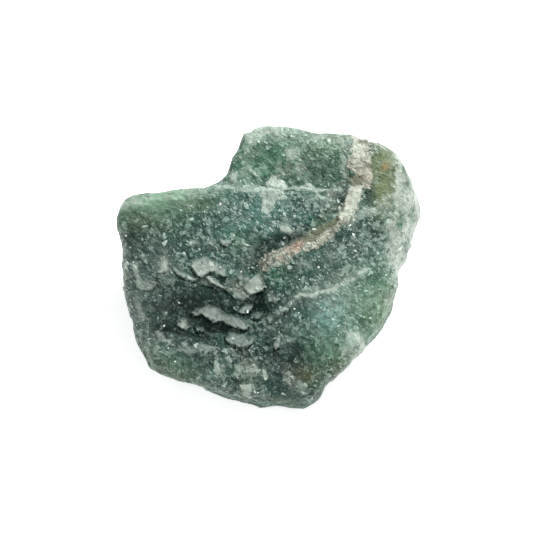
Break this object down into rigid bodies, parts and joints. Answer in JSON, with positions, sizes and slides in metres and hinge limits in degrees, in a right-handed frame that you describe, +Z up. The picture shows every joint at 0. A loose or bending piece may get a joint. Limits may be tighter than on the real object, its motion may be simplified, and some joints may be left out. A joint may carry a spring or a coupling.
{
  "type": "rough amazonite stone",
  "caption": "Rough broken piece of green amazonite with a broad stepped face, thin ledges, a pale seam and a flat base to rest on.",
  "frame": {"origin": "on the base plane, under the middle of the stone's outline seen from above", "axes": "+Z up from the base; +X along the stone's length; the broad face leans towards -Y"},
  "size_m": [0.0506, 0.0469, 0.0236],
  "materials": {
    "amazonite": "rough broken surface with a sugary grain"
  },
  "bodies": {
    "root": {"rough_stone": "amazonite"}
  },
  "joints": []
}
